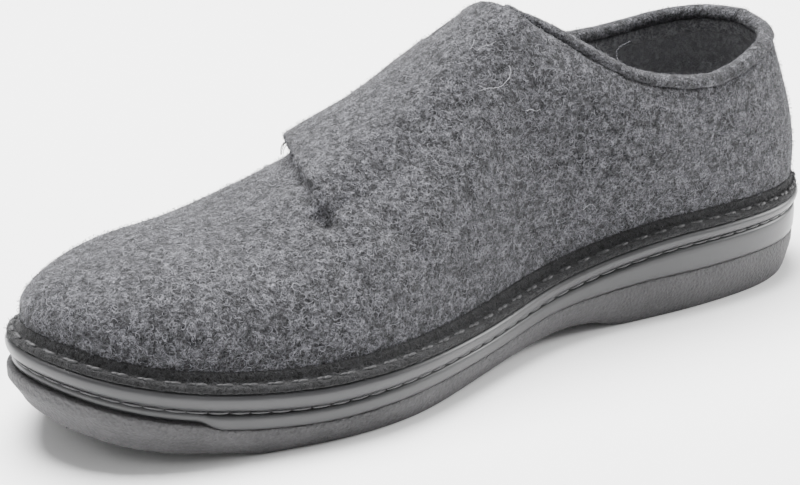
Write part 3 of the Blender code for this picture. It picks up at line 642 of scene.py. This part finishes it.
def remeshed(name, bm, voxel):
    mesh = bpy.data.meshes.new(name)
    bm.to_mesh(mesh)
    bm.free()
    piece = bpy.data.objects.new(name, mesh)
    bpy.context.scene.collection.objects.link(piece)
    remesh = piece.modifiers.new("voxels", "REMESH")
    remesh.mode = "VOXEL"
    remesh.voxel_size = voxel * mm
    remesh.adaptivity = 0.0
    result = bmesh.new()
    result.from_mesh(evaluated(piece))
    return result


def pulledBack(bm, tree, share, reach):
    # what the smoothing took off the felt's edges is given back along the nearest face
    for vert in bm.verts:
        place, normal, face, away = tree.find_nearest(vert.co, reach * mm)
        if place is not None and normal.dot(vert.normal) > 0.3:
            vert.co += normal * share * (place - vert.co).dot(normal)


def softFelt(name, nodes, voxel, closing):
    bm = nodeCopy(*nodes)
    tree = BVHTree.FromBMesh(bm)
    swollen(bm, closing * mm)
    bm = remeshed(name, bm, voxel)
    smoothed(bm, 3)
    swollen(bm, -closing * mm)
    smoothed(bm, shell["smoothing"])
    bm.normal_update()
    pulledBack(bm, tree, shell["pull"], shell["pullReach"])
    smoothed(bm, 2)
    bm.normal_update()
    return bm


def crestCurve():
    # the highest line of the rolled rim, by direction from the middle of the collar
    middle = Vector((0.078, 0.0, 0.0))
    best = {}
    for vert in frame["nodes"]["collar_rim"].data.vertices:
        angle = math.atan2(vert.co.y - middle.y, vert.co.x - middle.x)
        key = int((angle + math.pi) / (2 * math.pi) * 36) % 36
        if key not in best or vert.co.z > best[key][1]:
            best[key] = (angle, vert.co.z)
    rows = sorted(best.values())
    angles = np.array([r[0] for r in rows])
    heights = np.array([r[1] for r in rows])
    angles = np.concatenate([angles[-1:] - 2 * np.pi, angles, angles[:1] + 2 * np.pi])
    heights = np.concatenate([heights[-1:], heights, heights[:1]])
    return middle, angles, heights


collarMiddle, crestAngles, crestHeights = crestCurve()


def crestAbove(place):
    angle = math.atan2(place.y - collarMiddle.y, place.x - collarMiddle.x)
    return float(np.interp(angle, crestAngles, crestHeights)) - place.z


def facesInside(place, normal):
    inside = Vector((min(max(place.x, -0.09), 0.10), 0.0, 0.045)) - place
    return normal.dot(inside) > 0.0


def fold(bm, path, halfWidth, depth):
    # a soft trough or ridge along a line of points on the felt
    points = np.array(path) * mm
    verts = [v for v in bm.verts if not facesInside(v.co, v.normal)]
    places = np.array([v.co[:] for v in verts])
    nearest = np.full(len(verts), 1.0)
    fade = np.zeros(len(verts))
    lengths = np.linalg.norm(np.diff(points, axis=0), axis=1)
    way = np.concatenate([[0.0], np.cumsum(lengths)]) / lengths.sum()
    for k in range(len(points) - 1):
        step = points[k + 1] - points[k]
        t = np.clip(((places - points[k]) @ step) / (step @ step), 0.0, 1.0)
        away = np.linalg.norm(places - points[k] - t[:, None] * step, axis=1)
        closer = away < nearest
        nearest[closer] = away[closer]
        fade[closer] = (way[k] + t * (way[k + 1] - way[k]))[closer]
    profile = np.clip(1.0 - nearest / (halfWidth * mm), 0.0, 1.0) ** 2
    profile *= (3.0 - 2.0 * np.clip(1.0 - nearest / (halfWidth * mm), 0.0, 1.0))
    profile *= np.clip(4.0 * fade * (1.0 - fade) + 0.25, 0.0, 1.0)
    for vert, amount in zip(verts, profile):
        if amount > 0.0:
            vert.co -= vert.normal * amount * depth * mm
    bm.normal_update()


def softenedAlong(bm, path, reach, times):
    points = [Vector(p) * mm for p in path]
    near = [v for v in bm.verts if min((v.co - p).length for p in points) < reach * mm]
    for _ in range(times):
        bmesh.ops.smooth_vert(bm, verts=near, factor=0.5, use_axis_x=True, use_axis_y=True, use_axis_z=True)


def makeShell():
    bm = softFelt("feltShell", ("upper", "flap"), shell["voxel"], shell["closing"])
    for vert in bm.verts:
        if not facesInside(vert.co, vert.normal):
            vert.co += vert.normal * shell["outward"] * mm
    fold(bm, shell["filled"], 5.0, -2.2)
    softenedAlong(bm, shell["softened"], shell["softReach"], shell["softTimes"])
    softenedAlong(bm, shell["rounded"], shell["roundReach"], shell["roundTimes"])
    bm.normal_update()
    fold(bm, shell["rounded"], *shell["thickened"])
    for path, halfWidth, depth in shell["folds"]:
        fold(bm, path, halfWidth, depth)
    bm.normal_update()
    for face in bm.faces:
        place = face.calc_center_median()
        face.material_index = 0
        frontEdge = place.x < -0.035 and place.z > 0.05
        if facesInside(place, face.normal) and not frontEdge:
            # faces inside the shoe take the band or lining colours, which carry painted fill light
            band = crestAbove(place) < shell["liningDepth"] * mm and place.x > 0.02
            face.material_index = 1 if band else 2
    piece = finished("feltShell", bm, charcoalFelt)
    piece.data.materials.append(collarBandPaintedFill)
    piece.data.materials.append(liningFeltPaintedFill)
    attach(piece, "root")
    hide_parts("upper", "flap")
    print("felt shell:", len(piece.data.polygons), "faces")
    return piece


def makeRim():
    bm = softFelt("rolledRim", ("collar_rim",), 0.7, 0.1)
    swollen(bm, 0.22 * mm)
    for vert in bm.verts:
        vert.co.z -= 0.4 * mm
    piece = finished("rolledRim", bm, rimFelt)
    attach(piece, "root")
    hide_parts("collar_rim")
    return piece


feltShell = makeShell()
rolledRim = makeRim()
shellTree = BVHTree.FromObject(feltShell, bpy.context.evaluated_depsgraph_get())
print("felt shell and rim made")


def makeCollarSeam():
    # a thin thread round the inside of the collar, where the band coloured with painted fill light ends
    path = []
    for k in range(144):
        angle = -math.pi + 2.0 * math.pi * (k + 0.5) / 144
        way = Vector((math.cos(angle), math.sin(angle), 0.0))
        height = float(np.interp(angle, crestAngles, crestHeights)) - shell["liningDepth"] * mm
        start = Vector((collarMiddle.x, 0.0, height))
        place, normal, face, away = shellTree.ray_cast(start, way)
        if place is not None and away < 0.07:
            path.append(place + normal * 0.00005)
    rings = []
    for k, place in enumerate(path):
        heading = (path[(k + 1) % len(path)] - path[k - 1]).normalized()
        side = heading.cross(Vector((0, 0, 1))).normalized()
        up = side.cross(heading)
        swell = 0.2 + 0.08 * math.sin(k * 2.1)
        rings.append([place + (side * math.cos(a) + up * math.sin(a)) * swell * mm
                      for a in np.linspace(0.0, 2.0 * math.pi, 6, endpoint=False)])
    piece = loftedRings("collarSeam", rings, seamThread, closed=True)
    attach(piece, "root")


makeCollarSeam()

frame["nodes"]["insole"].material_slots[0].material = footbedFelt


# loose fibres

fibres = {
    # turns of the curl, radius and rise in millimetres
    "curls": ((0.55, 0.85, 0.22), (0.8, 0.6, 0.3), (0.35, 1.5, 0.25), (0.62, 0.75, 0.6), (0.25, 1.4, 0.9)),
    "width": 0.115,
    "segments": 6,
    "pale": (14000, 0.7, 1.35),
    "grey": (12000, 0.7, 1.3),
    "black": (5200, 0.8, 1.5),
    "stray": (70, 1.5, 2.3),
    "rim": (5200, 0.55, 1.15),
}


def curledFibre(name, turns, radius, rise, width, segments, material):
    # a strip bent into part of a circle, with its middle off the cloth
    bm = bmesh.new()
    bmesh.ops.create_grid(bm, x_segments=segments, y_segments=1, size=1.0)
    for vert in bm.verts:
        way, side = (vert.co.x + 1.0) / 2.0, vert.co.y * width / 2.0 * (1.0 - 0.7 * abs(vert.co.x) ** 3)
        angle = turns * 2.0 * math.pi * (way - 0.5) * (1.0 + 0.35 * math.sin(way * 5.0))
        reach = radius + side
        lift = rise * math.sin(math.pi * min(way * 1.15, 1.0)) - 0.08
        vert.co = Vector((reach * math.sin(angle), reach * math.cos(angle) - radius, lift)) * mm
    return finished(name, bm, material)


def randomised(tree, kind, low, high, seed):
    node = wire(tree, "FunctionNodeRandomValue", data_type=kind)
    base = 0 if kind == "FLOAT_VECTOR" else 2
    node.inputs[base].default_value = low
    node.inputs[base + 1].default_value = high
    node.inputs["Seed"].default_value = seed
    return node.outputs[0 if kind == "FLOAT_VECTOR" else 1]


def fibreCoat(name, base, amount, material, seed, slots=(0,)):
    # fibres strewn over one material of a piece, turned every way and joined into a mesh
    count, small, large = amount
    variants = bpy.data.collections.new(name + "Variants")
    for number, (turns, radius, rise) in enumerate(fibres["curls"]):
        curl = curledFibre(name + "Curl%d" % number, turns, radius, rise, fibres["width"],
                           fibres["segments"], material)
        bpy.context.scene.collection.objects.unlink(curl)
        variants.objects.link(curl)
    area = sum(face.area for face in base.data.polygons if face.material_index in slots)
    piece = bpy.data.objects.new(name, base.data.copy())
    bpy.context.scene.collection.objects.link(piece)
    tree = bpy.data.node_groups.new(name, "GeometryNodeTree")
    tree.interface.new_socket("Geometry", in_out="INPUT", socket_type="NodeSocketGeometry")
    tree.interface.new_socket("Geometry", in_out="OUTPUT", socket_type="NodeSocketGeometry")
    entry, leave = tree.nodes.new("NodeGroupInput"), tree.nodes.new("NodeGroupOutput")
    picked = wire(tree, "FunctionNodeCompare", {2: wire(tree, "GeometryNodeInputMaterialIndex").outputs[0]},
                  data_type="INT", operation="EQUAL")
    picked.inputs[3].default_value = slots[0]
    strewn = wire(tree, "GeometryNodeDistributePointsOnFaces",
                  {"Mesh": entry.outputs[0], "Density": count / area, "Seed": seed,
                   "Selection": picked.outputs[0]})
    spin = wire(tree, "FunctionNodeRotateRotation",
                {0: strewn.outputs["Rotation"],
                 1: wire(tree, "FunctionNodeEulerToRotation",
                         {0: randomised(tree, "FLOAT_VECTOR", (-0.35, -0.35, -3.14), (0.35, 0.35, 3.14), seed + 1)}
                         ).outputs[0]}, rotation_space="LOCAL")
    source = wire(tree, "GeometryNodeCollectionInfo", {0: variants, "Separate Children": True})
    copies = wire(tree, "GeometryNodeInstanceOnPoints",
                  {"Points": strewn.outputs["Points"], "Instance": source.outputs[0], "Pick Instance": True,
                   "Rotation": spin.outputs[0], "Scale": randomised(tree, "FLOAT", small, large, seed + 2)})
    joined = wire(tree, "GeometryNodeRealizeInstances", {0: copies.outputs[0]})
    coated = wire(tree, "GeometryNodeSetMaterial", {0: joined.outputs[0], "Material": material})
    tree.links.new(coated.outputs[0], leave.inputs[0])
    strew = piece.modifiers.new("strew", "NODES")
    strew.node_group = tree
    mesh = evaluated(piece)
    mesh.name = name
    mesh.materials.clear()
    mesh.materials.append(material)
    coat = bpy.data.objects.new(name, mesh)
    bpy.context.scene.collection.objects.link(coat)
    for curl in list(variants.objects):
        bpy.data.objects.remove(curl, do_unlink=True)
    bpy.data.collections.remove(variants)
    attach(coat, "root")
    print(name, len(mesh.polygons), "faces")
    return coat


fibreCoat("paleFibres", feltShell, fibres["pale"], paleFibre, 11)
fibreCoat("greyFibres", feltShell, fibres["grey"], greyFibre, 23)
fibreCoat("strayFibres", feltShell, fibres["stray"], paleFibre, 5)
fibreCoat("rimFibres", rolledRim, fibres["rim"], greyFibre, 31)
fibreCoat("weltFibres", weltStrip, fibres["black"], blackFibre, 47)


def makeLooseHairs():
    # a few longer hairs where they stand off the felt
    bm = bmesh.new()
    for path, thickness, slot in looseHairs:
        points = closedPath(np.array(path), 34)
        wave = np.arange(len(points))[:, None]
        points += 0.11 * np.column_stack([np.sin(1.3 * wave), np.cos(0.9 * wave), np.sin(1.7 * wave + 1.0)])
        verts = []
        for k, place in enumerate(points):
            heading = Vector(points[min(k + 1, len(points) - 1)] - points[max(k - 1, 0)]).normalized()
            side = heading.cross(Vector((0.3, 0.2, 1.0))).normalized()
            up = side.cross(heading)
            taper = thickness * (1.0 - 0.6 * k / len(points))
            turn = Matrix((side, up, heading)).transposed().to_4x4()
            put = Matrix.Translation(Vector(place) * mm) @ turn
            circle = bmesh.ops.create_circle(bm, segments=4, radius=taper * mm / 2.0, matrix=put)["verts"]
            if verts:
                tube = bmesh.ops.bridge_loops(bm, edges=loopEdges(bm, verts) + loopEdges(bm, circle))
                for face in tube["faces"]:
                    face.material_index = slot
            verts = circle
    piece = finished("looseHairs", bm, paleFibre)
    piece.data.materials.append(brightFibre)
    piece.data.materials.append(darkFibre)
    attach(piece, "root")


def closedPath(points, count):
    # a smooth line through a few points
    way = np.linspace(0.0, len(points) - 1.0, count)
    k = np.clip(way.astype(int), 0, len(points) - 2)
    t = (way - k)[:, None]
    at = lambda n: points[np.clip(n, 0, len(points) - 1)]
    before, here, after, later = at(k - 1), at(k), at(k + 1), at(k + 2)
    return 0.5 * (2 * here + (after - before) * t + (2 * before - 5 * here + 4 * after - later) * t ** 2
                  + (3 * here - before - 3 * after + later) * t ** 3)


looseHairs = (
    (((53.3, -27.3, 87.0), (52.7, -26.3, 89.9), (53.4, -25.8, 92.0), (55.3, -26.5, 93.5), (57.4, -27.5, 94.4)), 0.13, 0),
    (((24.0, -2.0, 108.5), (26.5, -4.0, 110.0), (29.5, -5.0, 109.6), (31.5, -7.5, 108.0)), 0.12, 0),
    (((14.1, -20.6, 91.8), (14.2, -21.4, 90.4), (13.2, -22.1, 88.8), (11.5, -22.6, 87.6), (9.0, -22.9, 86.5), (7.0, -22.4, 86.4), (4.9, -21.8, 86.4), (2.1, -21.3, 86.0)), 0.17, 1),
    (((16.3, -27.0, 78.5), (17.8, -27.3, 78.8), (19.0, -27.8, 78.2), (20.8, -28.1, 78.4)), 0.15, 1),
    (((6.5, -14.7, 96.8), (8.6, -14.9, 97.8), (10.3, -15.7, 98.0), (12.5, -16.0, 98.9)), 0.13, 1),
    (((36.5, -31.2, 42.8), (38.4, -31.4, 44.1), (40.4, -31.5, 43.8), (42.2, -31.5, 41.3)), 0.14, 1),
    (((-44.9, 15.3, 69.1), (-46.0, 15.6, 68.2), (-46.8, 15.7, 67.2), (-47.2, 15.4, 66.1), (-47.2, 15.0, 65.0)), 0.5, 2),
    (((-45.0, 15.2, 68.8), (-45.9, 15.4, 67.9), (-46.5, 15.4, 67.0), (-47.1, 15.2, 65.8), (-47.5, 15.2, 64.9)), 0.42, 2),
    (((-44.9, 14.8, 68.2), (-45.7, 15.0, 67.3), (-46.3, 15.0, 66.6), (-46.6, 14.9, 65.8), (-46.7, 14.7, 65.2)), 0.36, 2),
)
makeLooseHairs()
print("fibres strewn")


# floor, light and camera

studio = {
    "floor": (0.95, 0.95, 0.95, 1.0),
    "sky": (1.0, 1.0, 1.0, 1.0),
    "skyStrength": 0.6,
    # place, aim, size and power
    "lights": {
        "overhead": ((-0.02, 0.42, 1.45), (0.0, 0.05, 0.04), 1.2, 124.0),
        "window": ((-1.1, 0.10, 0.9), (-0.02, 0.0, 0.04), 0.5, 1.5),
        "rearFill": ((1.1, -0.30, 0.5), (0.10, 0.0, 0.04), 0.5, 15.0),
    },
    "target": (0.0, -0.0003, 0.035),
    "azimuth": -35.1,
    "elevation": 20.6,
    "distance": 0.665,
    "lens": 92.7,
    "shift": (-0.0425, -0.018),
}


def areaLight(name, place, aim, size, power):
    data = bpy.data.lights.new(name, "AREA")
    data.shape = "DISK"
    data.size = size
    data.energy = power
    light = bpy.data.objects.new(name, data)
    light.location = place
    light.rotation_mode = "QUATERNION"
    light.rotation_quaternion = (Vector(aim) - Vector(place)).to_track_quat("-Z", "Y")
    bpy.context.scene.collection.objects.link(light)


def makeStudio():
    bm = bmesh.new()
    bmesh.ops.create_grid(bm, x_segments=2, y_segments=2, size=3.0)
    paper, tree, shader = newMaterial("palePaper", **{"Base Color": studio["floor"], "Roughness": 0.9,
                                                      "Specular IOR Level": 0.1})
    floor = finished("floor", bm, paper, smooth=False)
    world = bpy.data.worlds.new("paleRoom")
    world.use_nodes = True
    sky = world.node_tree.nodes["Background"]
    sky.inputs["Color"].default_value = studio["sky"]
    sky.inputs["Strength"].default_value = studio["skyStrength"]
    bpy.context.scene.world = world
    for name, (place, aim, size, power) in studio["lights"].items():
        areaLight(name, place, aim, size, power)
    data = bpy.data.cameras.new("photoCamera")
    camera = bpy.data.objects.new("photoCamera", data)
    bpy.context.scene.collection.objects.link(camera)
    a, e = math.radians(studio["azimuth"]), math.radians(studio["elevation"])
    back = Vector((math.sin(a) * math.cos(e), -math.cos(a) * math.cos(e), math.sin(e)))
    camera.location = Vector(studio["target"]) + back * studio["distance"]
    camera.rotation_mode = "QUATERNION"
    camera.rotation_quaternion = (-back).to_track_quat("-Z", "Y")
    data.sensor_width = 36.0
    data.lens = studio["lens"]
    data.shift_x, data.shift_y = studio["shift"]
    data.clip_start, data.clip_end = 0.01, 20.0
    bpy.context.scene.camera = camera


makeStudio()
print("studio set")
